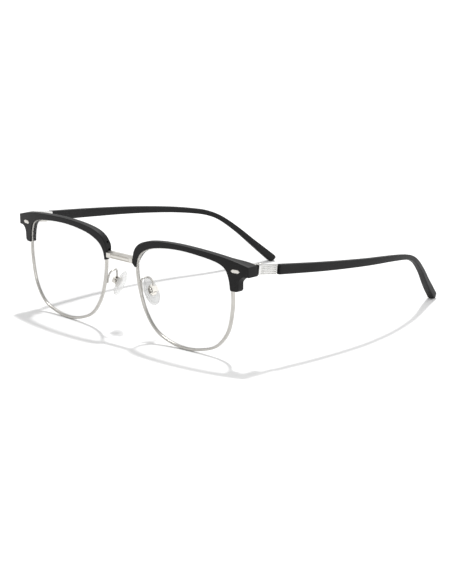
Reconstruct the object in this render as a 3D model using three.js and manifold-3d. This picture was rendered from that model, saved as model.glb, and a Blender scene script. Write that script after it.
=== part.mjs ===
// Half rim (browline) eyeglasses: metal eyewires and bridge under black brow bars, clear lenses, nose pads on
// bent arms, and hinged temples. Millimetres. +X is the wearer's left, the lenses face -Y, +Z is up, and the
// rims and the temple tips stand on z = 0. One side is modelled, on the left, and mirrored for the right.
import * as THREE from "three";
import { mergeVertices } from "three/addons/utils/BufferGeometryUtils.js";
import Module from "manifold-3d";

const wasm = await Module();
wasm.setup();

const { degToRad, smoothstep } = THREE.MathUtils;

// ---- driving dimensions ----

// The frame's depth runs from the brow at the nose to the temple tips: its middle is the origin's y.
const DEPTH_MIDDLE = 68.23;

// Front face: y = FRONT_NOSE_Y + FRONT_BOW |x|^3 + FRONT_TILT (FRONT_LEVEL - z).
const FRONT_NOSE_Y = -4.45;
const FRONT_BOW = 1.555e-5;
const FRONT_TILT = 0.035;
const FRONT_LEVEL = 38.4;

// Eyewire centreline, seen from the front, from the closing block over the top and round.
const RIM_OUTLINE = [
  [62.5, 35.5], [60.3, 39.4], [55.3, 41.5], [46, 42.8], [36.8, 43.3], [27.5, 42.8], [18.6, 41.1],
  [12.2, 37.6], [9.8, 31.8], [11, 22], [14.3, 12.7], [20.2, 5.4], [28.5, 1.75], [37.5, 0.5],
  [46.5, 1.5], [54.8, 4.5], [60.7, 11.6], [63.2, 21.5], [63.5, 29],
];
const LENS_CENTRE = [36.8, 22];
const RIM_SETBACK = 1.3; // from the brow's front face to the middle of the wire
const RIM_WIDTH = 1.1; // across the wire, in the plane of the lens
const RIM_DEPTH = 1.5;
const RIM_CHAMFER = 0.2;
const LENS_GROOVE = 0.4;
const RIM_STEPS = 76;
const RIM_GAP = 0.003; // the split at the closing block, as a share of the outline at each end

const LENS_THICKNESS = 1.8;
const LENS_FACETS = 48;

// Brow bar: outer edge from the nose tip over the top to the lug.
const BROW_OUTER = [
  [7.9, 32.6], [8.1, 35.4], [9.2, 38.8], [12, 41.7], [16.5, 43.6], [24, 44.8], [34, 45.3], [45, 45],
  [56, 44.1], [64, 42.9], [72.2, 40.9],
];
const NOSE_TIP = 31.3; // height of the bar's end beside the nose
const LEG_LAP = 0.3; // how much further the leg's foot reaches
const BROW_LAP = 0.35; // how far the brow's inner edge reaches inside the wire's centreline
const BROW_DEPTH = 3.3;
const BROW_BEVEL = 0.45;
const LUG_DEPTH = 5.7;
const LUG_BOTTOM = 36.4;
const LEG_OUTER = 67.2;
const LEG_BOTTOM = 29.6;
const LUG_FILLET = 3.2;

const RIVET_AT = [65.9, 38.4];
const RIVET_LENGTH = 4.5;
const RIVET_HEIGHT = 1.5;

const BRIDGE_HALF = 7.55; // where the bar meets the brow's side
const BRIDGE_BOTTOM = 32.6;
const BRIDGE_FRONT_HEIGHT = 2.2;
const BRIDGE_HEIGHT = 2.8;
const BRIDGE_DEPTH = 2.4;

// Hinge: its frame has x outwards, y rearwards along the temple and z along the screw.
const HINGE_AT = [68.2, 12.2, 38.2];
const TEMPLE_DROP = 8; // degrees that the temple falls towards the ear
const KNUCKLE_R = 1.5;
const HINGE_HALF = 2.1; // half the silver plate's height
const KNUCKLE_HALF = 1.75; // half the height of the endpiece and its knuckles
const MIDDLE_HALF = 0.65; // half the middle knuckle's height
const KNUCKLE_PLAY = 0.15;
const SCREW_R = 0.55;
const BORE_R = 0.62;

const PLATE_INNER = 2.05; // the silver plate's faces, from the hinge's axis
const PLATE_OUTER = 4.05;
const PLATE_FRONT = -4.6;
const PLATE_REAR = 6.6;
const FLUTES = 5;
const FLUTE_FAN = 2.2; // degrees between one flute and the next
const FLUTE_DEPTH = 0.15;

// Temple: points of its centreline, and its height at each of them.
const TEMPLE_LINE = [
  [72, 18.95, 37.3], [73.8, 45, 34.5], [73.2, 70, 31.9], [69.8, 90, 29.6], [66.1, 103, 27.5],
  [63.7, 110, 25.7], [61.5, 116.2, 22.6], [58.4, 123.5, 16.7], [54.7, 131.3, 9.1], [50.6, 140.9, 0.08],
];
const TEMPLE_HEIGHTS = [4.25, 3.8, 3.15, 2.6, 2.3, 2.25, 2.3, 2.5, 3, 4];
const TEMPLE_THICKNESS = [2.6, 2.6, 2.5, 2.4, 2.3, 2.35, 2.4, 2.7, 3.1, 3.6];
const TIP_TWIST = 4; // degrees that the ear tip's lower edge is turned in
const TIP_ROUND = 0.98; // share of the length where the rounded end begins

// Nose pad: its frame has x outwards, y rearwards across the pad and z up along it.
const PAD_AT = [9.7, 5.1, 19.4];
const PAD_TILT = -27; // degrees about y, the pad's top leaning towards the nose
const PAD_SPLAY = -12; // degrees about z, the pad's rear edge further out
const PAD_HALF = [1.15, 3.4, 6.35];
const PAD_PIVOT = 2.5; // from the pad's middle to its screw
const PAD_SCREW_R = 0.4;
const PAD_BORE_R = 0.48;

const ARM_R = 0.4;
const ARM_LINE = [
  [11.1, -1.25, 20.4], [10.4, -1.2, 23.4], [9.8, -0.5, 25.3], [9.7, 1.6, 25.9], [10.5, 3.4, 25.6], [11.2, 4.3, 24.2],
  [11.5, 4.55, 22.1],
];

const CLEARANCE = 0.15; // between a piece and the recess it sits in

// ---- materials ----

const silver = () => new THREE.MeshStandardMaterial({ color: 0xd5d2cc, roughness: 0.28, metalness: 1 });
const black = () => new THREE.MeshStandardMaterial({ color: 0x1d1d1e, roughness: 0.55, metalness: 0 });
const lensGlass = () =>
  new THREE.MeshStandardMaterial({ color: 0xf4f8f8, roughness: 0.03, metalness: 0, transparent: true, opacity: 0.15 });
const silicone = () =>
  new THREE.MeshStandardMaterial({ color: 0xf0efec, roughness: 0.25, metalness: 0, transparent: true, opacity: 0.5 });

// ---- helpers ----

const frontY = (x, z) => FRONT_NOSE_Y + FRONT_BOW * Math.abs(x) ** 3 + FRONT_TILT * (FRONT_LEVEL - z);
const frontSlope = (x) => Math.atan(3 * FRONT_BOW * x * x);

// A geometry as a manifold-3d solid, moved by a matrix.
function solid(geometry, matrix = new THREE.Matrix4()) {
  const bare = geometry.clone().applyMatrix4(matrix);
  bare.deleteAttribute("normal");
  bare.deleteAttribute("uv");
  const merged = mergeVertices(bare, 1e-4);
  const vertProperties = merged.attributes.position.array;
  const triVerts = new Uint32Array(merged.index.array);
  return new wasm.Manifold(new wasm.Mesh({ numProp: 3, vertProperties, triVerts }));
}

function geometryOf(made) {
  const mesh = made.getMesh();
  const geometry = new THREE.BufferGeometry();
  geometry.setAttribute("position", new THREE.BufferAttribute(mesh.vertProperties, 3));
  geometry.setIndex(new THREE.BufferAttribute(mesh.triVerts, 1));
  const flat = geometry.toNonIndexed();
  flat.computeVertexNormals();
  return flat;
}

const at = (x, y, z) => new THREE.Matrix4().makeTranslation(x, y, z);

// A box between two corners.
function box(low, high) {
  const size = high.map((h, i) => h - low[i]);
  const middle = high.map((h, i) => (h + low[i]) / 2);
  return new THREE.BoxGeometry(...size).translate(...middle);
}

// A rod along z: each step is [radius, z], from the bottom up.
function turned(steps, facets = 20) {
  const profile = steps.map(([r, z]) => new THREE.Vector2(r, z));
  return new THREE.LatheGeometry(profile, facets).rotateX(Math.PI / 2);
}

const rod = (r, z0, z1, facets) => turned([[0, z0], [r, z0], [r, z1], [0, z1]], facets);

// Moves each vertex by a function of its place.
function warp(geometry, move) {
  const position = geometry.attributes.position;
  const point = new THREE.Vector3();
  for (let i = 0; i < position.count; i++) {
    point.fromBufferAttribute(position, i);
    move(point);
    position.setXYZ(i, point.x, point.y, point.z);
  }
  geometry.computeVertexNormals();
  return geometry;
}

// A shape drawn in x and z, given a thickness from the front at y = 0 to the back at y = depth.
function slab(shape, depth, bevel = 0, curveSegments = 8) {
  const options = { depth: depth - 2 * bevel, steps: 1, curveSegments, bevelEnabled: bevel > 0 };
  Object.assign(options, { bevelSize: bevel, bevelOffset: -bevel, bevelThickness: bevel, bevelSegments: 1 });
  return new THREE.ExtrudeGeometry(shape, options).translate(0, 0, bevel - depth).rotateX(Math.PI / 2);
}

const rimOutline = new THREE.CatmullRomCurve3(
  RIM_OUTLINE.map(([x, z]) => new THREE.Vector3(x, 0, z)),
  true,
  "catmullrom",
);

// The rim outline at a share u of its points, moved outwards by an offset.
function rimPoint(u, offset = 0) {
  const point = rimOutline.getPoint(((u % 1) + 1) % 1);
  const along = rimOutline.getTangent(((u % 1) + 1) % 1);
  point.x += along.z * offset;
  point.z -= along.x * offset;
  return point;
}

// ---- eyewire, lens and closing block ----

// Sections are drawn with x towards the front and y outwards from the lens.
function rimSection(grow, grooved) {
  const deep = RIM_DEPTH / 2 + grow;
  const wide = RIM_WIDTH / 2 + grow;
  const chamfer = RIM_CHAMFER;
  const points = [[deep, wide - chamfer], [deep - chamfer, wide], [chamfer - deep, wide], [-deep, wide - chamfer]];
  points.push([-deep, -wide]);
  if (grooved) points.push([-LENS_GROOVE, -wide], [0, LENS_GROOVE - wide], [LENS_GROOVE, -wide]);
  points.push([deep, -wide]);
  return new THREE.Shape(points.map(([x, y]) => new THREE.Vector2(x, y)));
}

function rimSweep(grow, grooved, gap) {
  const points = [];
  for (let i = 0; i <= RIM_STEPS; i++) {
    const point = rimPoint(gap + (1 - 2 * gap) * (i / RIM_STEPS));
    point.y = frontY(point.x, point.z) + RIM_SETBACK;
    points.push(point);
  }
  const extrudePath = new THREE.CatmullRomCurve3(points);
  return new THREE.ExtrudeGeometry(rimSection(grow, grooved), { steps: RIM_STEPS, extrudePath });
}

// Where the frame stands, its lowest edges are flat.
const floor = box([-100, -20, -10], [100, 160, 0]);

const rim = () => geometryOf(solid(rimSweep(0, true, RIM_GAP)).subtract(solid(floor)));

function lens() {
  const wide = 1 - 0.8 / 26; // just inside the wire, as a share of the outline's size
  const half = LENS_THICKNESS / 2;
  const rings = [0, 0.35, 0.7, wide];
  const front = rings.map((r) => [r, -half]);
  const back = rings.map((r) => [r, half]).reverse();
  const profile = [...front, [wide, -LENS_GROOVE], [wide + 0.01, 0], [wide, LENS_GROOVE], ...back];
  const lathe = new THREE.LatheGeometry(profile.map(([r, y]) => new THREE.Vector2(r, y)), LENS_FACETS);
  return warp(lathe, (p) => {
    const size = Math.hypot(p.x, p.z);
    const edge = rimPoint(1 - Math.atan2(p.x, p.z) / (2 * Math.PI));
    const x = LENS_CENTRE[0] + (edge.x - LENS_CENTRE[0]) * size;
    const z = LENS_CENTRE[1] + (edge.z - LENS_CENTRE[1]) * size;
    p.set(x, frontY(x, z) + RIM_SETBACK + p.y, z);
  });
}

// The two halves of the closing block stand on the wire's ends, behind the brow.
const BLOCK_LOW = [63.5, 0.95];
const BLOCK_HIGH = [65.95, 3];
const BLOCK_SPLIT = 35.5;
const BLOCK_HEIGHT = 2.1;
const BLOCK_SCREW = [64.75, 1.98];

function closingBlock(z0) {
  const block = solid(box([...BLOCK_LOW, z0], [...BLOCK_HIGH, z0 + BLOCK_HEIGHT]));
  const hole = solid(rod(0.47, z0 - 1, z0 + BLOCK_HEIGHT + 1), at(...BLOCK_SCREW, 0));
  return geometryOf(block.subtract(hole));
}

function closingScrew() {
  const bottom = BLOCK_SPLIT - BLOCK_HEIGHT - 0.15;
  const top = BLOCK_SPLIT + BLOCK_HEIGHT;
  const steps = [[0, bottom - 0.5], [0.8, bottom - 0.5], [0.8, bottom], [0.4, bottom], [0.4, top], [0, top]];
  return turned(steps).translate(...BLOCK_SCREW, 0);
}

// ---- brow bar ----

function browShape() {
  const outer = new THREE.SplineCurve(BROW_OUTER.map(([x, z]) => new THREE.Vector2(x, z)));
  const lugSide = BROW_OUTER.at(-1)[0];
  const shape = new THREE.Shape(outer.getPoints(36));
  shape.lineTo(lugSide, LUG_BOTTOM);
  const legRun = LEG_OUTER + LUG_FILLET;
  shape.absarc(legRun, LUG_BOTTOM - LUG_FILLET, LUG_FILLET, Math.PI / 2, Math.PI, false);
  shape.lineTo(LEG_OUTER - 0.1, LEG_BOTTOM + 0.9);
  shape.lineTo(LEG_OUTER - 1, LEG_BOTTOM);
  const inner = [];
  for (let i = -26; i <= 160; i++) {
    const point = rimPoint(i / 360, -BROW_LAP - (LEG_LAP * Math.max(0, -i)) / 26);
    if (point.z > (i < 0 ? LEG_BOTTOM + 0.6 : NOSE_TIP)) inner.push(point);
  }
  shape.lineTo(inner[0].x + 0.6, LEG_BOTTOM);
  inner.filter((_, i) => i % 4 === 0).forEach((p) => shape.lineTo(p.x, p.z));
  const tip = inner.at(-1);
  shape.lineTo(tip.x - 0.4, tip.z - 0.15);
  return shape;
}

// The lug is deeper than the rest of the bar.
function browDepth(x, z) {
  return BROW_DEPTH + (LUG_DEPTH - BROW_DEPTH) * smoothstep(x, 61, 70) * smoothstep(z, 33.5, 36.5);
}

function rivetPlate(grow, depth) {
  const half = RIVET_LENGTH / 2 + grow;
  const high = RIVET_HEIGHT / 2 + grow;
  const corners = [[half, 0], [half - 0.9, high], [0.9 - half, high], [-half, 0], [0.9 - half, -high], [half - 0.9, -high]];
  return slab(new THREE.Shape(corners.map(([x, z]) => new THREE.Vector2(x, z))), depth, grow ? 0 : 0.15);
}

const [rivetX, rivetZ] = RIVET_AT;
const rivetPlace = at(rivetX, frontY(rivetX, rivetZ), rivetZ).multiply(
  new THREE.Matrix4().makeRotationZ(frontSlope(rivetX)),
);

// The small screw at the nose end enters the bar from its outer edge.
const NOSE_SCREW_AT = [8.75, 38];
const NOSE_SCREW_TURN = 110; // degrees about y from pointing up
const noseScrewPlace = at(NOSE_SCREW_AT[0], frontY(...NOSE_SCREW_AT) + RIM_SETBACK, NOSE_SCREW_AT[1]).multiply(
  new THREE.Matrix4().makeRotationY(degToRad(NOSE_SCREW_TURN)),
);

function brow() {
  const bar = warp(slab(browShape(), 1, BROW_BEVEL / BROW_DEPTH), (p) => {
    p.y = frontY(p.x, p.z) + p.y * browDepth(p.x, p.z);
  });
  const pocket = box(
    [BLOCK_LOW[0] - 0.2, BLOCK_LOW[1] - 0.2, BLOCK_SPLIT - BLOCK_HEIGHT - 0.9],
    [BLOCK_HIGH[0] + 0.2, 9, BLOCK_SPLIT + BLOCK_HEIGHT + 0.3],
  );
  return geometryOf(
    solid(bar)
      .subtract(solid(rimSweep(CLEARANCE, false, 0.0005)))
      .subtract(solid(pocket))
      .subtract(solid(endpiecePlan(0.2, KNUCKLE_HALF + 0.2), hingePlace))
      .subtract(solid(rod(BORE_R, -12, -4), browScrewPlace))
      .subtract(solid(rivetPlate(0.1, 1), rivetPlace))
      .subtract(solid(rod(0.65, -1, 2.2), noseScrewPlace))
      .subtract(solid(bridgeTenon(CLEARANCE))),
  );
}

// ---- bridge ----

function bridgeTenon(grow) {
  const y = frontY(BRIDGE_HALF, BRIDGE_BOTTOM);
  const low = [-9.1 - grow, y + 0.9 - grow, BRIDGE_BOTTOM + 0.5 - grow];
  const high = [9.1 + grow, y + BRIDGE_DEPTH - 0.2 + grow, BRIDGE_BOTTOM + BRIDGE_HEIGHT - 0.5 + grow];
  return box(low, high);
}

function bridge() {
  const y = frontY(BRIDGE_HALF, BRIDGE_BOTTOM) - 0.2;
  const top = BRIDGE_HEIGHT;
  const section = [[0, 0], [BRIDGE_DEPTH, 0], [BRIDGE_DEPTH, top], [1.2, top], [0, BRIDGE_FRONT_HEIGHT]];
  const shape = new THREE.Shape(section.map(([a, b]) => new THREE.Vector2(a, b)));
  const bar = new THREE.ExtrudeGeometry(shape, { depth: 2 * BRIDGE_HALF, steps: 1, bevelEnabled: false });
  bar.translate(0, 0, -BRIDGE_HALF).rotateX(Math.PI / 2).rotateZ(Math.PI / 2);
  bar.applyMatrix4(at(0, y, BRIDGE_BOTTOM));
  return geometryOf(solid(bar).add(solid(bridgeTenon(0))));
}

// ---- hinge ----

const hingePlace = at(...HINGE_AT).multiply(new THREE.Matrix4().makeRotationX(-degToRad(TEMPLE_DROP)));

// The endpiece from above: from behind the closing block, round the lug's back, to the hinge's axis.
function endpiecePlan(grow, half) {
  const corners = [[1.3, 0], [-1.5, 0], [-1.5, -5.3], [-3.7, -5.8], [-3.7, -7.3], [-2.2, -7], [0.2, -6], [1.3, -4.9]];
  const shape = new THREE.Shape(corners.map(([x, y]) => new THREE.Vector2(x, y)));
  const options = { depth: 2 * half, steps: 1, curveSegments: 6, bevelEnabled: false };
  const plan = new THREE.ExtrudeGeometry(shape, options).translate(0, 0, -half);
  return grow ? plan.translate(0, -grow, 0) : plan;
}

const browScrewPlace = hingePlace.clone().multiply(at(-2.75, 0, 1)).multiply(
  new THREE.Matrix4().makeRotationX(-Math.PI / 2),
);

function endpiece() {
  const slotHalf = MIDDLE_HALF + KNUCKLE_PLAY;
  const made = solid(endpiecePlan(0, KNUCKLE_HALF))
    .add(solid(rod(KNUCKLE_R, -KNUCKLE_HALF, KNUCKLE_HALF, 24)))
    .subtract(solid(box([-3, -KNUCKLE_R - 0.25, -slotHalf], [3, 3, slotHalf])))
    .subtract(solid(box([-8, -9, -3], [-1.5, -4, 0.2])))
    .subtract(solid(rod(BORE_R, -3, 3)));
  const unplaced = hingePlace.clone().invert();
  return geometryOf(made.subtract(solid(rod(BORE_R, -12, -2), unplaced.multiply(browScrewPlace))));
}

const hingeScrew = () =>
  turned([[0, -1.65], [SCREW_R, -1.65], [SCREW_R, 1.8], [1, 1.8], [1, 2], [0.85, 2.1], [0, 2.1]]);

const browScrew = () =>
  turned([[0, -9.3], [0.5, -9.3], [0.5, -5.36], [0.7, -5.36], [0.7, -4.96], [0, -4.96]]).applyMatrix4(browScrewPlace);

const noseScrew = () =>
  turned([[0, 0.35], [0.5, 0.35], [0.5, 2], [0, 2]], 16).applyMatrix4(noseScrewPlace);

// ---- temple ----

// A shallow groove along the plate's outer face, turned up or down by its place in the fan.
function flute(place) {
  const start = PLATE_FRONT + 1.1;
  const length = PLATE_REAR - 0.7 - start;
  const cut = box([PLATE_OUTER - FLUTE_DEPTH, 0, -0.13], [PLATE_OUTER + 1, length, 0.13]);
  cut.rotateX(degToRad(FLUTE_FAN * place)).translate(0, start, 0.4 * place);
  return solid(cut);
}

function templePlate() {
  const outline = [
    [PLATE_INNER, PLATE_FRONT], [PLATE_OUTER - 0.3, PLATE_FRONT], [PLATE_OUTER, PLATE_FRONT + 0.3],
    [PLATE_OUTER, PLATE_REAR], [PLATE_INNER, PLATE_REAR],
  ];
  const shape = new THREE.Shape(outline.map(([x, y]) => new THREE.Vector2(x, y)));
  const plate = new THREE.ExtrudeGeometry(shape, { depth: 2 * HINGE_HALF, steps: 1, bevelEnabled: false });
  plate.translate(0, 0, -HINGE_HALF);
  const flutes = Array.from({ length: FLUTES }, (_, i) => flute(i - (FLUTES - 1) / 2));
  return geometryOf(
    flutes
      .reduce((made, cut) => made.subtract(cut), solid(plate))
      .add(solid(box(TANG[0], TANG[1])))
      .add(solid(box([0, -1.1, -MIDDLE_HALF], [PLATE_INNER + 0.2, 1.1, MIDDLE_HALF])))
      .add(solid(rod(KNUCKLE_R, -MIDDLE_HALF, MIDDLE_HALF, 24)))
      .subtract(solid(rod(BORE_R, -1, 1))),
  );
}

const TANG = [
  [3.3, 6, -0.9],
  [4.3, 14, 0.9],
];

const templeLine = new THREE.CatmullRomCurve3(TEMPLE_LINE.map((p) => new THREE.Vector3(...p)), false, "catmullrom");

// A list's value at a share of the way along it.
function along(list, share) {
  const place = share * (list.length - 1);
  const i = Math.min(Math.floor(place), list.length - 2);
  return THREE.MathUtils.lerp(list[i], list[i + 1], place - i);
}

function temple() {
  const bar = new THREE.CylinderGeometry(1, 1, 1, 16, 60);
  warp(bar, (p) => {
    const share = p.y + 0.5;
    const centre = templeLine.getPoint(share);
    const ahead = templeLine.getTangent(share);
    const side = ahead.clone().cross(new THREE.Vector3(0, 0, 1)).normalize();
    const up = side.clone().cross(ahead);
    const twist = degToRad(TIP_TWIST) * smoothstep(share, 0.55, 0.85);
    const end = Math.max(0, share - TIP_ROUND) / (1 - TIP_ROUND);
    const round = Math.sqrt(Math.max(0.01, 1 - end * end));
    const square = (v) => Math.sign(v) * Math.max(0, Math.abs(v) - 1e-6) ** 0.3; // rounds out to a soft square
    const across = (square(p.x) * along(TEMPLE_THICKNESS, share)) / 2;
    const high = (square(p.z) * along(TEMPLE_HEIGHTS, share)) / 2;
    const turnedSide = side.clone().multiplyScalar(Math.cos(twist)).addScaledVector(up, -Math.sin(twist));
    const turnedUp = up.clone().multiplyScalar(Math.cos(twist)).addScaledVector(side, Math.sin(twist));
    p.copy(centre).addScaledVector(turnedSide, across * round).addScaledVector(turnedUp, high * round);
  });
  const [low, high] = TANG;
  const grown = box(low.map((v) => v - CLEARANCE), high.map((v) => v + CLEARANCE));
  return geometryOf(solid(bar).subtract(solid(grown, hingePlace)).subtract(solid(floor)));
}

// ---- nose pad, in the pad's frame ----

const padPlace = at(...PAD_AT).multiply(
  new THREE.Matrix4().makeRotationFromEuler(new THREE.Euler(0, degToRad(PAD_TILT), degToRad(PAD_SPLAY))),
);
const acrossPad = new THREE.Matrix4().makeRotationX(Math.PI / 2); // a rod along y

function insertPlate(grow) {
  const disc = rod(2 + grow, 0.7 - grow, 1.3 + grow, 24);
  disc.rotateY(Math.PI / 2).scale(1, 1, 1.25);
  return disc;
}

// A drop-shaped cushion, broader at its lower end.
function nosePad() {
  const [thick, wide, long] = PAD_HALF;
  const pad = warp(new THREE.SphereGeometry(1, 24, 14), (p) => {
    const broad = 1 - 0.14 * p.y;
    p.set(p.x * thick, -p.z * wide * broad, p.y * long);
  });
  const recess = insertPlate(0.1);
  const mouth = box([0.7, -1, -1.2], [3, 1, 1.2]);
  return geometryOf(solid(pad).subtract(solid(recess)).subtract(solid(mouth)));
}

function padInsert() {
  const neck = box([1, -0.45, -0.6], [PAD_PIVOT, 0.45, 0.6]);
  const place = at(PAD_PIVOT, 0, 0).multiply(acrossPad);
  return geometryOf(
    solid(insertPlate(0))
      .add(solid(neck))
      .add(solid(rod(0.75, -0.45, 0.45), place))
      .subtract(solid(rod(PAD_BORE_R, -1, 1), place)),
  );
}

function padBox() {
  const place = at(PAD_PIVOT, 0, 0).multiply(acrossPad);
  return geometryOf(
    solid(box([PAD_PIVOT - 0.75, -1.4, -1.2], [PAD_PIVOT + 1.25, 1.4, 1.2]))
      .subtract(solid(box([0, -0.6, -2], [PAD_PIVOT + 0.9, 0.6, 2])))
      .subtract(solid(rod(PAD_BORE_R, -2, 2), place)),
  );
}

const padScrew = () =>
  turned([[0, -1.5], [PAD_SCREW_R, -1.5], [PAD_SCREW_R, 1.45], [0.8, 1.45], [0.8, 1.9], [0, 1.9]])
    .applyMatrix4(acrossPad)
    .translate(PAD_PIVOT, 0, 0);

function padArm() {
  const points = ARM_LINE.map((p) => new THREE.Vector3(...p));
  const circle = new THREE.Shape().absarc(0, 0, ARM_R, 0, 2 * Math.PI, false);
  const extrudePath = new THREE.CatmullRomCurve3(points);
  return new THREE.ExtrudeGeometry(circle, { steps: 30, curveSegments: 5, extrudePath });
}

// ---- assembly ----

function piece(name, geometry, material, parent) {
  const mesh = new THREE.Mesh(geometry, material);
  mesh.name = name;
  parent.add(mesh);
}

// One side of the glasses, as it is on the left.
function side(name) {
  const group = new THREE.Group();
  const front = (node, geometry, material) => piece(`${node}_${name}`, geometry, material, group);
  front("rim", rim(), silver());
  front("lens", lens(), lensGlass());
  front("closing_block_upper", closingBlock(BLOCK_SPLIT + 0.1), silver());
  front("closing_block_lower", closingBlock(BLOCK_SPLIT - 0.1 - BLOCK_HEIGHT), silver());
  front("closing_screw", closingScrew(), silver());
  front("brow", brow(), black());
  front("rivet", rivetPlate(0, 0.9).translate(0, -0.2, 0).applyMatrix4(rivetPlace), silver());
  front("brow_screw_outer", browScrew(), silver());
  front("brow_screw_inner", noseScrew(), silver());
  front("pad_arm", padArm(), silver());
  front("temple", temple(), black());

  const hinge = new THREE.Group();
  hinge.applyMatrix4(hingePlace);
  group.add(hinge);
  piece(`endpiece_${name}`, endpiece(), silver(), hinge);
  piece(`hinge_screw_${name}`, hingeScrew(), silver(), hinge);
  piece(`temple_plate_${name}`, templePlate(), silver(), hinge);

  const pad = new THREE.Group();
  pad.applyMatrix4(padPlace);
  group.add(pad);
  piece(`nose_pad_${name}`, nosePad(), silicone(), pad);
  piece(`pad_insert_${name}`, padInsert(), silver(), pad);
  piece(`pad_box_${name}`, padBox(), silver(), pad);
  piece(`pad_screw_${name}`, padScrew(), silver(), pad);
  return group;
}

const left = side("left");
const right = side("right");
right.scale.x = -1;

const frame = new THREE.Group();
frame.add(left, right);
piece("bridge", bridge(), silver(), frame);
frame.position.y = -DEPTH_MIDDLE;

const glasses = new THREE.Group();
glasses.name = "browline_eyeglasses";
glasses.add(frame);

export default glasses;
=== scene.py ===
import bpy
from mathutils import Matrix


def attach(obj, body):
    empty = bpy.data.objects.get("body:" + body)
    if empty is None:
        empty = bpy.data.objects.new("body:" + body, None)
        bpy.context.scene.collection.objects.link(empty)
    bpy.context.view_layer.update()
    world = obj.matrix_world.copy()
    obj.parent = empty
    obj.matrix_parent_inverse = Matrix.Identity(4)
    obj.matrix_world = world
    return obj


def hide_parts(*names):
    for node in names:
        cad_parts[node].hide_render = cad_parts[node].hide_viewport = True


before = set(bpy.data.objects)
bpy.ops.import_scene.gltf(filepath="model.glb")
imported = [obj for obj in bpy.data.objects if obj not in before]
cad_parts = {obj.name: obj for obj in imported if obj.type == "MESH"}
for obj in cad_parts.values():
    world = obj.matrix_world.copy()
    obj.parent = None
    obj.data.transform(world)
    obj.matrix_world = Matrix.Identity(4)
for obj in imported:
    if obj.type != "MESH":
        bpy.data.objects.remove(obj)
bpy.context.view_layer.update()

import math

import bpy
import numpy as np
from mathutils import Matrix, Vector, geometry

# Lengths here are in mm. Pieces are drawn for the left side and mirrored for the right side.
MM = 0.001
Y_SHIFT = -68.23  # moves the middle of the glasses' depth to y = 0
SIDES = (("left", 1), ("right", -1))

RIM_OUTLINE = [
    (62.5, 35.5), (60.3, 39.4), (55.3, 41.5), (46, 42.8), (36.8, 43.3), (27.5, 42.8), (18.6, 41.1),
    (12.2, 37.6), (9.8, 31.8), (11, 22), (14.3, 12.7), (20.2, 5.4), (28.5, 1.75), (37.5, 0.5),
    (46.5, 1.5), (54.8, 4.5), (60.7, 11.6), (63.2, 21.5), (63.5, 29),
]
RIM_SAMPLES = 720  # steps round the outline; a part of it is given by its first and last step
RIM_SETBACK = 1.3  # from the brow's front face to the middle of the wire
RIM_WIDTH = 1.1
RIM_DEPTH = 1.5
RIM_CORNER = 0.33

BROW_OUTER = [
    (7.9, 32.6), (8.1, 35.4), (9.2, 38.8), (12, 41.7), (16.5, 43.6), (24, 44.8), (34, 45.3), (45, 45),
    (56, 44.1), (64, 42.9), (72.2, 40.9),
]
BROW_OUTER_LENGTH = 84
LUG_END = 72.2
LUG_TOP = 40.9
LUG_BOTTOM = 36.4
LUG_DEPTH = 5.7
FILLET = 3.2  # between the lug and the leg
FILLET_CENTRE = (70.4, 33.2)
LEG_BOTTOM = 29.6
NOSE_TIP = 31.3
BROW_LAP = 0.35  # how far the brow reaches inside the wire's centreline
LEG_LAP = 0.3  # how much further the leg's foot reaches
BROW_DEPTH = 3.3
NOSE_TAPER = 1.1  # how much thinner the brow is at its nose end
BROW_BEVEL = 0.32
BROW_FILL = (1.2, 0.6)  # spacing of the points inside the two flat faces
BROW_FILL_MARGIN = 0.35
LIP_WIDTH = 1.0
LIP_DEPTH = 1.8
LIP_AT = (-0.2, 2.2)  # the lip's middle, from the wire's centreline and behind the front face
LIP_STEPS = (-32, 95)  # the part of the outline that the lip follows

TEMPLE_LINE = [
    (72, 18.95, 37.3), (73.8, 45, 34.5), (73.2, 70, 31.9), (69.8, 90, 29.6), (66.1, 103, 27.5),
    (63.7, 110, 25.7), (61.5, 116.2, 22.6), (58.4, 123.5, 16.7), (54.7, 131.3, 9.1), (50.6, 140.9, 0.08),
]
TEMPLE_HEIGHTS = [4.25, 3.8, 3.15, 2.6, 2.3, 2.25, 2.3, 2.5, 3, 4]
TEMPLE_THICKNESS = [2.6, 2.6, 2.5, 2.4, 2.3, 2.35, 2.4, 2.7, 3.1, 3.6]
TEMPLE_CORNER = 0.38
TIP_CORNER = 0.6  # how much rounder the section is at the tip
TIP_TWIST = math.radians(4)
TIP_ROUND = 0.98  # share of the length where the rounded end begins
FLOOR_ROUND = 0.3  # how softly the tip meets the floor

# The hinge's frame has x outwards, y rearwards along the temple and z along the screw.
HINGE_AT = np.array((68.2, 12.2, 38.2))
DROP = math.radians(8)  # how far the temple points down at the hinge
KNUCKLE_R = 1.5
KNUCKLE_HALF = 0.65
PLATE_INNER = 2.05
PLATE_OUTER = 4.05
PLATE_FRONT = -4.6
PLATE_REAR = 6.6
PLATE_HALF = 2.1
PLATE_EDGE = 0.25
FLUTE_PLACES = (-2, -1, 0, 1, 2)
FLUTE_PITCH = 0.66
FLUTE_FAN = math.radians(0.9)
FLUTE_WIDTH = 0.15
FLUTE_DEPTH = 0.2
FLUTE_STARTS = (1.0, 1.3)  # where the flutes fade in and out, from the plate's front end
FLUTE_ENDS = (10.2, 10.5)

BRIDGE_EDGE = 7.55  # where the bar meets the brow's side
BRIDGE_HALF = 8.2
BRIDGE_BOTTOM = 32.6
BRIDGE_HEIGHT = 2.8
BRIDGE_FACE = 2.2  # height of the bar's front face, below its step
BRIDGE_DEPTH = 2.4
ENGRAVED_HALF = 5.7
ENGRAVED_DEPTH = 0.3
ENGRAVED_WIDTH = 0.15
BLOCK_FROM = 6.1  # the bar's end blocks stand out from here
BLOCK_STEP = 0.14

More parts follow.
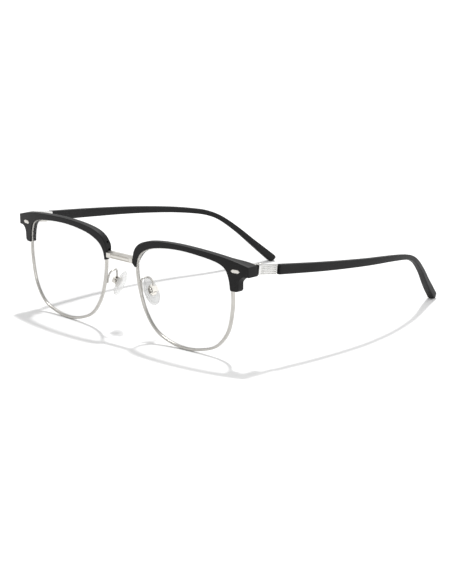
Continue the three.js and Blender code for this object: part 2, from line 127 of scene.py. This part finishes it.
PAD_AT = (9.7, 5.1, 19.4)
PAD_TILT = math.radians(-27)
PAD_SPLAY = math.radians(-12)
PAD_THICK = 1.15  # this and the next two are half sizes
PAD_WIDE = 3.4
PAD_LONG = 6.35
PAD_DIP = 0.55  # hollow round the metal plate

# number, place on the brow's outer curve, and half sizes across and along it
HOLES = ((1, (9.3, 39), (0.45, 0.4)), (2, (8.05, 35.9), (0.7, 0.42)))
HOLE_SETBACK = 1.75
HOLE_THICK = 0.2
HOLE_SIDES = 24

ARM_R = 0.4
ARM_LINE = [
    (11.1, -1.25, 20.4), (10.4, -1.2, 23.4), (9.8, -0.5, 25.3), (9.7, 1.6, 25.9), (10.5, 3.4, 25.6),
    (11.2, 4.3, 24.2), (11.5, 4.55, 22.1),
]


# ---------------------------------------------------------------- curves and surfaces


def front_y(x, z):
    """The brow's front face."""
    return -4.45 + 1.555e-5 * abs(x) ** 3 + 0.035 * (38.4 - z)


def smooth(v, a, b):
    t = np.clip((v - a) / (b - a), 0, 1)
    return t * t * (3 - 2 * t)


def catmull(points, closed, count):
    """count points along a Catmull-Rom curve; an open curve includes both ends."""
    p = np.array(points, float)
    n = len(p)
    spans = n if closed else n - 1
    if not closed:
        p = np.vstack([2 * p[0] - p[1], p, 2 * p[-1] - p[-2]])
    out = []
    for k in range(count):
        s = spans * k / (count if closed else count - 1)
        i = min(int(s), spans - 1)
        t = s - i
        if closed:
            a, b, c, d = (p[(i + j) % n] for j in (-1, 0, 1, 2))
        else:
            a, b, c, d = p[i : i + 4]
        out.append(
            b
            + 0.5 * t * (c - a)
            + t * t * (a - 2.5 * b + 2 * c - 0.5 * d)
            + t**3 * (1.5 * (b - c) + 0.5 * (d - a))
        )
    return np.array(out)


def normals_2d(p):
    """The unit normals of a closed outline, which point out if it runs anticlockwise."""
    t = np.roll(p, -1, 0) - np.roll(p, 1, 0)
    t /= np.linalg.norm(t, axis=1)[:, None]
    return np.c_[t[:, 1], -t[:, 0]]


# ---------------------------------------------------------------- materials


def material(name, rgb, rough, metallic=0.0):
    m = bpy.data.materials.new(name)
    m.use_nodes = True
    nodes = m.node_tree.nodes
    shader = nodes["Principled BSDF"]
    shader.inputs["Metallic"].default_value = metallic
    shader.inputs["Base Color"].default_value = (*rgb, 1)
    shader.inputs["Roughness"].default_value = rough
    return m, nodes, m.node_tree.links, shader


def noise(nodes, links, scale, detail):
    place = nodes.new("ShaderNodeTexCoord")
    tex = nodes.new("ShaderNodeTexNoise")
    tex.inputs["Scale"].default_value = scale
    tex.inputs["Detail"].default_value = detail
    links.new(place.outputs["Object"], tex.inputs["Vector"])
    return tex.outputs["Fac"]


def ramp(nodes, links, fac, low, high):
    r = nodes.new("ShaderNodeValToRGB")
    r.color_ramp.elements[0].position = 0.3
    r.color_ramp.elements[1].position = 0.7
    r.color_ramp.elements[0].color = (*low, 1)
    r.color_ramp.elements[1].color = (*high, 1)
    links.new(fac, r.inputs["Fac"])
    return r.outputs["Color"]


def grey(v):
    return (v, v, v)


def bump(nodes, links, shader, fac, strength, distance):
    b = nodes.new("ShaderNodeBump")
    b.inputs["Strength"].default_value = strength
    b.inputs["Distance"].default_value = distance
    links.new(fac, b.inputs["Height"])
    links.new(b.outputs["Normal"], shader.inputs["Normal"])


def black_plastic():
    m, nodes, links, shader = material("black_plastic", (0.012, 0.012, 0.013), 0.5)
    broad = noise(nodes, links, 90, 4)
    fine = noise(nodes, links, 2600, 2)
    colour = ramp(nodes, links, broad, (0.0055, 0.0055, 0.0057), (0.0095, 0.0095, 0.0098))
    links.new(colour, shader.inputs["Base Color"])
    links.new(ramp(nodes, links, broad, grey(0.42), grey(0.54)), shader.inputs["Roughness"])
    shader.inputs["Specular IOR Level"].default_value = 0.17
    bump(nodes, links, shader, fine, 0.16, 0.00006)
    return m


def silver_metal(name="silver_metal", rgb=(0.67, 0.65, 0.61), rough=(0.25, 0.37)):
    m, nodes, links, shader = material(name, rgb, rough[0], 1.0)
    broad = noise(nodes, links, 240, 4)
    fine = noise(nodes, links, 5200, 2)
    dark = tuple(v * 0.88 for v in rgb)
    links.new(ramp(nodes, links, broad, dark, rgb), shader.inputs["Base Color"])
    links.new(ramp(nodes, links, broad, grey(rough[0]), grey(rough[1])), shader.inputs["Roughness"])
    bump(nodes, links, shader, fine, 0.08, 0.00003)
    return m


def clear(name, tint, rough, through, cloudy=False):
    """A thin clear solid: mostly see-through, with a gloss that grows towards its edges."""
    m, nodes, links, shader = material(name, tint, rough)
    shader.inputs["Specular IOR Level"].default_value = 0.5
    seen = nodes.new("ShaderNodeBsdfTransparent")
    seen.inputs["Color"].default_value = (*grey(0.93 if cloudy else 0.985), 1)
    weight = nodes.new("ShaderNodeLayerWeight")
    weight.inputs["Blend"].default_value = 0.35
    edge = nodes.new("ShaderNodeMapRange")
    edge.inputs["To Min"].default_value = 1 - through
    edge.inputs["To Max"].default_value = 1 - through + (0.35 if cloudy else 0.18)
    links.new(weight.outputs["Facing"], edge.inputs["Value"])
    mix = nodes.new("ShaderNodeMixShader")
    links.new(edge.outputs["Result"], mix.inputs["Fac"])
    links.new(seen.outputs["BSDF"], mix.inputs[1])
    links.new(shader.outputs["BSDF"], mix.inputs[2])
    links.new(mix.outputs["Shader"], nodes["Material Output"].inputs["Surface"])
    fac = noise(nodes, links, 350, 3)
    links.new(ramp(nodes, links, fac, grey(rough * 0.8), grey(rough * 1.3)), shader.inputs["Roughness"])
    if cloudy:
        bump(nodes, links, shader, fac, 0.05, 0.0001)
    return m


BLACK = black_plastic()
SILVER = silver_metal()
WIRE = silver_metal("silver_wire", (0.54, 0.525, 0.495))
PLATE = silver_metal("silver_plate", (0.74, 0.735, 0.72), (0.2, 0.3))
LENS = clear("clear_lens", (0.12, 0.125, 0.125), 0.03, 0.985)
PAD = clear("clear_silicone", (0.74, 0.74, 0.73), 0.2, 0.7, cloudy=True)
# flat black without gloss: painted shade for the dark inside of the small holes in the brow beside the nose
HOLE_SHADE, _, _, hole_shade_shader = material("painted_hole_shade", (0.0, 0.0, 0.0), 0.9)
hole_shade_shader.inputs["Specular IOR Level"].default_value = 0.0


# ---------------------------------------------------------------- making pieces


def add(name, verts, faces, mat, body, nodes, mirror=1, angle=35):
    """A piece from points in mm, given for the left side and before the shift."""
    v = np.array(verts, float)
    v[:, 1] += Y_SHIFT
    v[:, 0] *= mirror
    if mirror < 0:
        faces = [tuple(reversed(f)) for f in faces]
    mesh = bpy.data.meshes.new(name)
    mesh.from_pydata((v * MM).tolist(), [], [tuple(int(i) for i in f) for f in faces])
    mesh.validate()
    mesh.update()
    obj = bpy.data.objects.new(name, mesh)
    bpy.context.collection.objects.link(obj)
    mesh.materials.append(mat)
    mesh.shade_smooth()
    mesh.set_sharp_from_angle(angle=math.radians(angle))
    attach(obj, body)
    if nodes:
        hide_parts(*nodes)
    return obj


def grid_faces(rows, cols, closed_rows, closed_cols):
    faces = []
    for i in range(rows if closed_rows else rows - 1):
        for j in range(cols if closed_cols else cols - 1):
            a, b = i, (i + 1) % rows
            c, d = j, (j + 1) % cols
            faces.append((a * cols + c, a * cols + d, b * cols + d, b * cols + c))
    return faces


def outward(verts, faces):
    """Turns the faces round if the solid is inside out."""
    v = np.array(verts)
    volume = 0
    for f in faces:
        for k in range(1, len(f) - 1):
            volume += np.dot(v[f[0]], np.cross(v[f[k]], v[f[k + 1]]))
    return faces if volume > 0 else [tuple(reversed(f)) for f in faces]


def rounded_rect(w, h, r, steps=4):
    """A closed section w by h with round corners."""
    pts = []
    for cx, cy, start in ((1, 1, 0), (-1, 1, 90), (-1, -1, 180), (1, -1, 270)):
        for k in range(steps + 1):
            a = math.radians(start + 90 * k / steps)
            pts.append((cx * (w / 2 - r) + r * math.cos(a), cy * (h / 2 - r) + r * math.sin(a)))
    return np.array(pts)


# ---------------------------------------------------------------- eyewires


def rim(side, mirror):
    count = 300
    p = catmull(RIM_OUTLINE, True, count)
    n = normals_2d(p)
    section = rounded_rect(RIM_WIDTH, RIM_DEPTH, RIM_CORNER)
    verts = []
    for (x, z), (nx, nz) in zip(p, n):
        for across, deep in section:
            px, pz = x + nx * across, max(z + nz * across, 0)
            verts.append((px, front_y(px, pz) + RIM_SETBACK + deep, pz))
    faces = outward(verts, grid_faces(count, len(section), True, True))
    add(f"eyewire_{side}", verts, faces, WIRE, "front", [f"rim_{side}"], mirror)


# ---------------------------------------------------------------- brow bars


def brow_outline(step):
    """The bar's outline from the nose over the top, down the leg and back along the wire."""
    pts = [tuple(p) for p in catmull(BROW_OUTER, False, int(BROW_OUTER_LENGTH / step))]
    pts += [(LUG_END, z) for z in np.arange(LUG_TOP - step, LUG_BOTTOM, -step)]
    pts.append((LUG_END, LUG_BOTTOM))
    pts += [(x, LUG_BOTTOM) for x in np.arange(LUG_END - step, FILLET_CENTRE[0] + 0.1, -step)]
    for k in range(13):
        a = math.radians(90 + 90 * k / 12)
        pts.append((FILLET_CENTRE[0] + FILLET * math.cos(a), FILLET_CENTRE[1] + FILLET * math.sin(a)))
    pts += [(67.17, 32.2), (67.15, 31.3), (67.1, 30.5), (66.7, 29.95), (66.1, LEG_BOTTOM), (65, LEG_BOTTOM)]

    centre = catmull(RIM_OUTLINE, True, RIM_SAMPLES)
    normals = normals_2d(centre)
    keep = []
    for s in range(-60, 330):
        k = s % RIM_SAMPLES
        in_leg = s < 0
        lap = BROW_LAP + (LEG_LAP * min(-s, 52) / 52 if in_leg else 0)
        q = centre[k] - lap * normals[k]
        if q[1] > (LEG_BOTTOM + 0.5 if in_leg else NOSE_TIP):
            keep.append(tuple(q))
    pts.append((keep[0][0] + 0.9, LEG_BOTTOM))
    pts.append((keep[0][0] + 0.3, LEG_BOTTOM + 0.15))
    last = np.array(pts[-1])
    for q in keep:
        if np.linalg.norm(np.array(q) - last) >= step * 0.9:
            pts.append(q)
            last = np.array(q)
    tip = keep[-1]
    pts += [(tip[0] - 0.35, tip[1] - 0.12), (tip[0] - 1.0, tip[1] - 0.05), (tip[0] - 1.45, tip[1] + 0.35)]
    return np.array(pts)


def brow_depth(x, z):
    """The bar's depth: deeper in the lug, thinner at the nose end."""
    tip = 1 - smooth(z, 32.5, 38) if x < 20 else 0
    lug = smooth(x, 61, 70) * smooth(z, 33.5, 36.5)
    return BROW_DEPTH + (LUG_DEPTH - BROW_DEPTH) * lug - NOSE_TAPER * tip


def brow(side, mirror):
    step = 0.45
    outline = brow_outline(step)
    # the normals point out of the outline, whichever way it runs
    after = np.roll(outline, -1, 0)
    turn = np.sum(outline[:, 0] * after[:, 1] - after[:, 0] * outline[:, 1])
    n = normals_2d(outline) * (1 if turn > 0 else -1)
    count = len(outline)
    bevel = BROW_BEVEL
    turns = 4
    rings = []
    for k in range(turns + 1):
        a = math.radians(90 * k / turns)
        rings.append((bevel * (1 - math.sin(a)), bevel * (1 - math.cos(a)), 0))
    for k in range(turns + 1):
        a = math.radians(90 * k / turns)
        rings.append((bevel * (1 - math.cos(a)), bevel * (1 - math.sin(a)), 1))

    def place(x, z, deep, back):
        depth = brow_depth(x, z)
        return (x, front_y(x, z) + (depth - deep if back else deep), z)

    verts = []
    for inset, deep, back in rings:
        for (x, z), (nx, nz) in zip(outline, n):
            verts.append(place(x - nx * inset, z - nz * inset, deep, back))
    faces = grid_faces(len(rings), count, False, True)

    # both faces share one flat triangulation, with points inside so that it bends evenly
    edge = [Vector((v[0], v[2])) for v in verts[:count]]
    xs = np.arange(8, 72.5, BROW_FILL[0])
    zs = np.arange(29.8, 45.6, BROW_FILL[1])
    ring = np.array([(e.x, e.y) for e in edge])

    def inside(x, z):
        a, b = ring, np.roll(ring, -1, 0)
        cross = (a[:, 1] > z) != (b[:, 1] > z)
        rise = np.where(b[:, 1] == a[:, 1], 1e-9, b[:, 1] - a[:, 1])
        at = a[:, 0] + (z - a[:, 1]) * (b[:, 0] - a[:, 0]) / rise
        return np.sum(cross & (x < at)) % 2 == 1

    spare = [
        Vector((x, z))
        for x in xs
        for z in zs
        if inside(x, z) and np.min(np.hypot(ring[:, 0] - x, ring[:, 1] - z)) > BROW_FILL_MARGIN
    ]
    points, _, tris, *_ = geometry.delaunay_2d_cdt(
        edge + spare, [(i, (i + 1) % count) for i in range(count)], [], 1, 1e-6
    )
    for back in (0, 1):
        base = len(verts)
        verts += [place(p.x, p.y, 0, back) for p in points]
        for t in tris:
            faces.append(tuple(base + i for i in (t if back else reversed(t))))
    # weld the two faces to the rings
    v = np.round(np.array(verts), 4)
    _, first, index = np.unique(v, axis=0, return_index=True, return_inverse=True)
    index = index.reshape(-1)
    verts = [verts[i] for i in first]
    faces = [tuple(index[i] for i in f) for f in faces]
    faces = [f for f in faces if len(set(f)) == len(f)]
    name = f"brow_bar_{side}"
    add(name, verts, faces, BLACK, "front", [f"brow_{side}"], mirror, 60)


def rear_lip(side, mirror):
    """The brow's inner edge behind the wire, from the leg's foot round the upper outer corner."""
    count = 90
    whole = catmull(RIM_OUTLINE, True, RIM_SAMPLES)
    normals = normals_2d(whole)
    section = rounded_rect(LIP_WIDTH, LIP_DEPTH, 0.15) + LIP_AT
    start, end = LIP_STEPS
    verts = []
    for s in np.linspace(start, end, count):
        i = round(s) % RIM_SAMPLES
        narrower = 1 - 0.5 * smooth(s, 55, end)
        for across, deep in section:
            x, z = whole[i] + normals[i] * across * narrower
            verts.append((x, front_y(x, z) + deep, z))
    cols = len(section)
    faces = grid_faces(count, cols, False, True)
    faces.append(tuple(range(cols)))
    faces.append(tuple(reversed([(count - 1) * cols + j for j in range(cols)])))
    faces = outward(verts, faces)
    add(f"rear_lip_{side}", verts, faces, BLACK, "front", None, mirror, 60)


# ---------------------------------------------------------------- temples


def temple(side, mirror):
    """The black temple, from the fluted plate to the ear tip."""
    count = 220
    line = catmull(TEMPLE_LINE, False, count)
    ahead = np.gradient(line, axis=0)
    ahead /= np.linalg.norm(ahead, axis=1)[:, None]
    places = np.linspace(0, 1, count)
    share = np.linspace(0, 1, len(TEMPLE_HEIGHTS))
    high = np.interp(places, share, TEMPLE_HEIGHTS)
    thick = np.interp(places, share, TEMPLE_THICKNESS)
    kernel = np.ones(9) / 9
    high = np.convolve(np.pad(high, 4, "edge"), kernel, "valid")
    verts = []
    # a station is a point of the line, a step forward from it and a scale; three of them round the front
    stations = [(0, 0.0, 0.82), (0, 0.06, 0.93), (0, 0.2, 1.0)]
    stations += [(i, 0.0, 1.0) for i in range(2, count)]
    for i, forward, scale in stations:
        c, t = line[i] + ahead[i] * forward, ahead[i]
        out = np.cross(t, (0, 0, 1))
        out /= np.linalg.norm(out)
        up = np.cross(out, t)
        twist = TIP_TWIST * smooth(places[i], 0.55, 0.85)
        o = out * math.cos(twist) - up * math.sin(twist)
        u = up * math.cos(twist) + out * math.sin(twist)
        end = max(0, places[i] - TIP_ROUND) / (1 - TIP_ROUND)
        scale *= max(0.004, 1 - end**3) ** (1 / 3)
        radius = TEMPLE_CORNER + TIP_CORNER * smooth(places[i], 0.9, 1)
        section = rounded_rect(thick[i], high[i], radius, 6) * scale
        for a, b in section:
            v = c + o * a + u * b
            verts.append((v[0], v[1], 0.5 * (v[2] + math.hypot(v[2], FLOOR_ROUND))))
    cols = len(section)
    faces = grid_faces(len(stations), cols, False, True)
    faces.append(tuple(range(cols)))
    faces.append(tuple(reversed([(len(stations) - 1) * cols + j for j in range(cols)])))
    faces = outward(verts, [tuple(reversed(f)) for f in faces])
    body = f"temple_{side}"
    add(f"temple_arm_{side}", verts, faces, BLACK, body, [body], mirror, 40)


# ---------------------------------------------------------------- fluted plate on the temple's front


def hinge_to_side(p):
    """A point of the hinge's frame, in the side's frame."""
    x, y, z = p
    c, s = math.cos(DROP), math.sin(DROP)
    return (HINGE_AT[0] + x, HINGE_AT[1] + y * c + z * s, HINGE_AT[2] - y * s + z * c)


def knuckle(verts, faces):
    """The plate's own knuckle and the arm that joins it to the plate."""
    base = len(verts)
    steps = 40
    for z in (-KNUCKLE_HALF, KNUCKLE_HALF):
        for k in range(steps):
            a = 2 * math.pi * k / steps
            verts.append(hinge_to_side((KNUCKLE_R * math.cos(a), KNUCKLE_R * math.sin(a), z)))
    for k in range(steps):
        j = (k + 1) % steps
        faces.append((base + k, base + j, base + steps + j, base + steps + k))
    faces.append(tuple(base + k for k in reversed(range(steps))))
    faces.append(tuple(base + steps + k for k in range(steps)))
    base = len(verts)
    for z in (0.01 - KNUCKLE_HALF, KNUCKLE_HALF - 0.01):
        for x, y in ((0.6, -1.1), (2.2, -1.1), (2.2, 1.1), (0.6, 1.1)):
            verts.append(hinge_to_side((x, y, z)))
    sides = ((0, 1, 5, 4), (1, 2, 6, 5), (2, 3, 7, 6), (3, 0, 4, 7))
    ends = ((3, 2, 1, 0), (4, 5, 6, 7))
    for a, b, c, d in sides + ends:
        faces.append((base + a, base + b, base + c, base + d))


def flutes(side, mirror):
    """The plate, with shallow grooves that fan out from its front end."""
    x0, x1 = PLATE_INNER, PLATE_OUTER
    y0, y1 = PLATE_FRONT, PLATE_REAR
    half = PLATE_HALF
    rows, cols = ((120, 150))
    verts = []
    for i in range(rows + 1):
        for j in range(cols + 1):
            u, v = i / rows, j / cols
            y = y0 + (y1 - y0) * u
            z = -half + 2 * half * v
            along = y - y0
            groove = 0
            for place in FLUTE_PLACES:
                centre = FLUTE_PITCH * place + (along - 1.1) * math.tan(FLUTE_FAN * place)
                groove = max(groove, math.exp(-(((z - centre) / FLUTE_WIDTH) ** 2)))
            groove *= smooth(along, *FLUTE_STARTS) * (1 - smooth(along, *FLUTE_ENDS))
            near = min(along, y1 - y, half - abs(z))
            past = 1 - min(near / PLATE_EDGE, 1)
            soft = PLATE_EDGE * (1 - math.sqrt(max(0, 1 - past**2)))
            x = x1 - FLUTE_DEPTH * groove - soft
            verts.append(hinge_to_side((x, y, z)))
    faces = grid_faces(rows + 1, cols + 1, False, False)
    rim_ids = [i * (cols + 1) for i in range(rows + 1)]
    rim_ids += [rows * (cols + 1) + j for j in range(1, cols + 1)]
    rim_ids += [i * (cols + 1) + cols for i in range(rows - 1, -1, -1)]
    rim_ids += [j for j in range(cols - 1, 0, -1)]
    base = len(verts)
    for k in rim_ids:
        i, j = divmod(k, cols + 1)
        verts.append(hinge_to_side((x0, y0 + (y1 - y0) * i / rows, -half + 2 * half * j / cols)))
    m = len(rim_ids)
    for k in range(m):
        a, b = rim_ids[k], rim_ids[(k + 1) % m]
        faces.append((a, b, base + (k + 1) % m, base + k))
    faces.append(tuple(base + k for k in range(m)))
    faces = outward(verts, faces)
    knuckle(verts, faces)
    name = f"temple_plate_{side}"
    add(f"fluted_plate_{side}", verts, faces, PLATE, f"temple_{side}", [name], mirror, 75)


# ---------------------------------------------------------------- bridge


def bridge():
    """The bar between the brows, with a stepped top and an engraved border."""
    y0 = front_y(BRIDGE_EDGE, BRIDGE_BOTTOM) - 0.2
    bottom, high, face, depth = BRIDGE_BOTTOM, BRIDGE_HEIGHT, BRIDGE_FACE, BRIDGE_DEPTH
    # section from the back bottom round the front to the back top, as (y, z, number of the stretch)
    r = 0.22
    ys = [depth, r, 0.08, 0, 0, 0.09, 1.1, 1.3, depth, depth]
    zs = [0, 0, 0.06, r, face - 0.12, face + 0.02, high - 0.08, high, high, 0]
    prof = []
    front, ledge = 3, 5
    stretch_steps = {front: 26, ledge: 14}
    for k in range(len(ys) - 1):
        steps = stretch_steps.get(k, 2)
        for s in range(steps):
            t = s / steps
            prof.append((ys[k] + (ys[k + 1] - ys[k]) * t, zs[k] + (zs[k + 1] - zs[k]) * t, k))
    xs = np.linspace(-BRIDGE_HALF, BRIDGE_HALF, 240)
    low_line, high_line = 0.42, face - 0.36
    verts = []
    for x in xs:
        for y, z, k in prof:
            edge = abs(x) - ENGRAVED_HALF
            cut = 0.0
            if k == front:
                border = min(abs(z - low_line), abs(z - high_line))
                cut = ENGRAVED_DEPTH * math.exp(-((border / ENGRAVED_WIDTH) ** 2)) * (edge < 0)
                end = ENGRAVED_DEPTH * math.exp(-((edge / 0.12) ** 2)) * (low_line <= z <= high_line)
                cut = max(cut, end)
            if k == ledge:
                cut = 0.12 * math.exp(-(((y - 0.6) / 0.12) ** 2))
            block = 0
            if abs(k - front) <= 1:
                block = BLOCK_STEP * smooth(abs(x), BLOCK_FROM, BLOCK_FROM + 0.15)
            verts.append((x, y0 + y + cut - block, bottom + z))
    cols = len(prof)
    faces = grid_faces(len(xs), cols, False, True)
    faces.append(tuple(range(cols)))
    faces.append(tuple(reversed([(len(xs) - 1) * cols + j for j in range(cols)])))
    faces = outward(verts, faces)
    add("bridge_bar", verts, faces, SILVER, "front", ["bridge"], 1, 30)


# ---------------------------------------------------------------- nose pads


def pad_matrix():
    turn = Matrix.Rotation(PAD_TILT, 4, "Y") @ Matrix.Rotation(PAD_SPLAY, 4, "Z")
    return Matrix.Translation(PAD_AT) @ turn


def nose_pad(side, mirror):
    """A drop-shaped cushion, hollowed round its metal plate."""
    rows, cols = ((64, 96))
    verts = [(0, 0, 1)]
    for i in range(1, rows):
        a = math.pi * i / rows
        for j in range(cols):
            b = 2 * math.pi * j / cols
            verts.append((math.sin(a) * math.cos(b), math.sin(a) * math.sin(b), math.cos(a)))
    verts.append((0, 0, -1))
    out = []
    place = pad_matrix()
    for x, y, z in verts:
        flat = np.sign(x) * abs(x) ** 0.75 * PAD_THICK
        back = smooth(x, 0.0, 0.9)
        dip = PAD_DIP * back * max(0, 1 - (y * PAD_WIDE / 2.3) ** 2 - (z * PAD_LONG / 2.9) ** 2)
        q = place @ Vector((flat - dip, y * PAD_WIDE * (1 - 0.14 * z), z * PAD_LONG))
        out.append(tuple(q))
    faces = [(0, 1 + j, 1 + (j + 1) % cols) for j in range(cols)]
    for i in range(rows - 2):
        for j in range(cols):
            a, b = 1 + i * cols + j, 1 + i * cols + (j + 1) % cols
            faces.append((a, a + cols, b + cols, b))
    last = len(out) - 1
    base = 1 + (rows - 2) * cols
    faces += [(last, base + (j + 1) % cols, base + j) for j in range(cols)]
    faces = outward(out, faces)
    replaced = [f"nose_pad_{side}"]
    add(f"pad_cushion_{side}", out, faces, PAD, f"pad_{side}", replaced, mirror, 80)


def pad_arm(side, mirror):
    """The round wire from the eyewire to the pad's box."""
    count, cols = ((110, 20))
    line = catmull(ARM_LINE, False, count)
    verts = []
    normal = np.array((1.0, 0, 0))
    for p, t in zip(line, np.gradient(line, axis=0)):
        t = t / np.linalg.norm(t)
        normal = normal - t * np.dot(normal, t)
        normal /= np.linalg.norm(normal)
        other = np.cross(t, normal)
        for k in range(cols):
            a = 2 * math.pi * k / cols
            verts.append(p + ARM_R * (normal * math.cos(a) + other * math.sin(a)))
    faces = grid_faces(count, cols, False, True)
    faces.append(tuple(reversed(range(cols))))
    faces.append(tuple((count - 1) * cols + j for j in range(cols)))
    faces = outward(verts, faces)
    add(f"arm_{side}", verts, faces, WIRE, "front", [f"pad_arm_{side}"], mirror, 50)


def hole(side, mirror, number, place, radii):
    """A black disc in the brow's edge beside the nose, painted shade for the dark inside of a screw hole.
    """
    p = catmull(BROW_OUTER, False, 400)
    i = int(np.argmin(np.hypot(*(p - place).T)))
    t = p[i + 1] - p[i - 1]
    t /= np.linalg.norm(t)
    out = np.array((-t[1], t[0]))
    x, z = p[i] + out * 0.05
    y = front_y(x, z) + HOLE_SETBACK
    verts = []
    for lift in (0, -HOLE_THICK):
        for k in range(HOLE_SIDES):
            a = 2 * math.pi * k / HOLE_SIDES
            u, v = radii[0] * math.cos(a), radii[1] * math.sin(a)
            verts.append((x + t[0] * v + out[0] * lift, y + u, z + t[1] * v + out[1] * lift))
    faces = grid_faces(2, HOLE_SIDES, False, True)
    faces.append(tuple(range(HOLE_SIDES)))
    faces.append(tuple(reversed(range(HOLE_SIDES, 2 * HOLE_SIDES))))
    faces = outward(verts, faces)
    add(f"hole_{number}_{side}", verts, faces, HOLE_SHADE, "front", None, mirror, 30)


# ---------------------------------------------------------------- build

for side, mirror in SIDES:
    rim(side, mirror)
    brow(side, mirror)
    rear_lip(side, mirror)
    temple(side, mirror)
    nose_pad(side, mirror)
    flutes(side, mirror)
    pad_arm(side, mirror)
    for number, place, radii in HOLES:
        hole(side, mirror, number, place, radii)
bridge()

# the pieces that keep their CAD shape get soft edges and their finish
for name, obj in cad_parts.items():
    if obj.hide_render:
        continue
    kind = name.rsplit("_", 1)[0]
    mat = LENS if kind == "lens" else SILVER
    obj.data.materials.clear()
    obj.data.materials.append(mat)
    if kind == "lens":
        obj.data.shade_smooth()
        continue
    edge = obj.modifiers.new("edge", "BEVEL")
    edge.width = 0.00008
    edge.segments = 2
    edge.limit_method = "ANGLE"
    edge.angle_limit = math.radians(40)

# ---------------------------------------------------------------- stage, light and camera

floor_mesh = bpy.data.meshes.new("floor")
FLOOR_HALF = 4
FLOOR_DROP = 0.0002
corners = [(x * FLOOR_HALF, y * FLOOR_HALF, -FLOOR_DROP) for x, y in ((-1, -1), (1, -1), (1, 1), (-1, 1))]
floor_mesh.from_pydata(corners, [], [(0, 1, 2, 3)])
floor = bpy.data.objects.new("floor", floor_mesh)
bpy.context.collection.objects.link(floor)
floor_mat, _, _, floor_shader = material("floor", (0.9, 0.9, 0.9), 0.9)
floor_shader.inputs["Specular IOR Level"].default_value = 0.1
floor_mesh.materials.append(floor_mat)

world = bpy.data.worlds.new("studio")
bpy.context.scene.world = world
world.use_nodes = True
world.node_tree.nodes["Background"].inputs["Color"].default_value = (1, 1, 1, 1)
world.node_tree.nodes["Background"].inputs["Strength"].default_value = 0.78


def area(name, place, aim, size, power):
    light = bpy.data.lights.new(name, "AREA")
    light.shape = "SQUARE"
    light.size = size
    light.energy = power
    obj = bpy.data.objects.new(name, light)
    obj.location = place
    obj.rotation_euler = (Vector(aim) - Vector(place)).to_track_quat("-Z", "Y").to_euler()
    bpy.context.collection.objects.link(obj)


def sun(name, place, angle, strength):
    light = bpy.data.lights.new(name, "SUN")
    light.angle = math.radians(angle)
    light.energy = strength
    obj = bpy.data.objects.new(name, light)
    obj.location = place
    obj.rotation_euler = (-Vector(place)).to_track_quat("-Z", "Y").to_euler()
    bpy.context.collection.objects.link(obj)


# the key stands behind the glasses and to the wearer's right, so that shadows fall forwards
sun("key", (-0.37, 0.43, 1.0), 4, 2.0)
area("side", (1.1, 0.3, 0.35), (0, 0, 0), 0.5, 4)

azimuth, elevation = math.radians(45.575), math.radians(14.071)
back = Vector(
    (math.sin(azimuth) * math.cos(elevation), -math.cos(azimuth) * math.cos(elevation), math.sin(elevation))
)
right = Vector((math.cos(azimuth), math.sin(azimuth), 0))
up = back.cross(right)
target = Vector((-1.582, 60.9 + Y_SHIFT, 7.028)) * MM
distance = 1.2301
camera = bpy.data.objects.new("camera", bpy.data.cameras.new("camera"))
camera.data.lens = 170.2
camera.data.sensor_width = 36
camera.data.clip_start = 0.01
bpy.context.collection.objects.link(camera)
axes = Matrix((right, up, back)).transposed().to_4x4()
camera.matrix_world = Matrix.Translation(target + back * distance) @ axes
bpy.context.scene.camera = camera
bpy.context.scene.view_settings.view_transform = "Standard"
